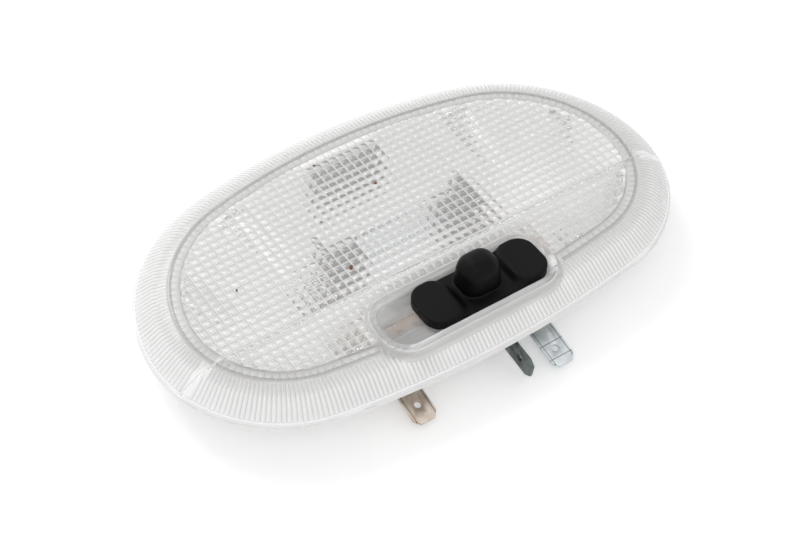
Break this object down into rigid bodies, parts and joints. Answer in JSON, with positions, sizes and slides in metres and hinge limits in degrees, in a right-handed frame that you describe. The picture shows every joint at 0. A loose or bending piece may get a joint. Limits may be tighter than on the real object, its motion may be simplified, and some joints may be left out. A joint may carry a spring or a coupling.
{
  "type": "car dome light",
  "caption": "Oval car dome light with clear fluted lenses, a black sliding switch, blade terminals and a festoon bulb in a white housing.",
  "frame": {"origin": "on the flat back of the housing, in the middle of the lens's length and on the axis of its corner arcs", "axes": "+X along the lens, +Y away from the switch and the terminals, +Z out of the lens face"},
  "size_m": [0.1408, 0.0893, 0.0255],
  "materials": {
    "white_housing": "satin moulded, slightly creamy white",
    "clear_lens": "clear polystyrene, glossy, looks white over the tray",
    "black_slider": "satin black moulded, soft sheen on the pads",
    "natural_carrier": "natural, unpigmented",
    "bronze_spring": "rolled phosphor bronze",
    "lamp_glass": "clear, smooth",
    "plated_caps": "nickel plated, slightly dull",
    "dark_wire": "drawn tungsten and nickel wire",
    "spring_steel": "zinc plated, dull grey",
    "copper_strip": "tinned copper alloy, pinkish, thin tarnish",
    "dark_strip": "dark tarnished plating",
    "bright_strip": "bright plated, faint rolling lines"
  },
  "bodies": {
    "lamp": {"housing": "white_housing", "bulb_cover": "clear_lens", "switch_cover": "clear_lens", "bulb_glass": "lamp_glass", "bulb_cap_left": "plated_caps", "bulb_cap_right": "plated_caps", "filament": "dark_wire", "filament_supports": "dark_wire", "left_bulb_contact": "spring_steel", "right_bulb_contact": "spring_steel", "supply_strip": "copper_strip", "common_strip": "copper_strip", "door_strip": "dark_strip", "earth_strip": "bright_strip", "strip_rivets": "bright_strip", "roof_clip": "spring_steel"},
    "slider": {"switch_slider": "black_slider", "contact_carrier": "natural_carrier", "wiper": "bronze_spring"}
  },
  "joints": [
    {"name": "switch_slide", "type": "slide", "parent": "lamp", "child": "slider", "axis": [-1, 0, 0], "range_m": [0, 0.009]}
  ]
}
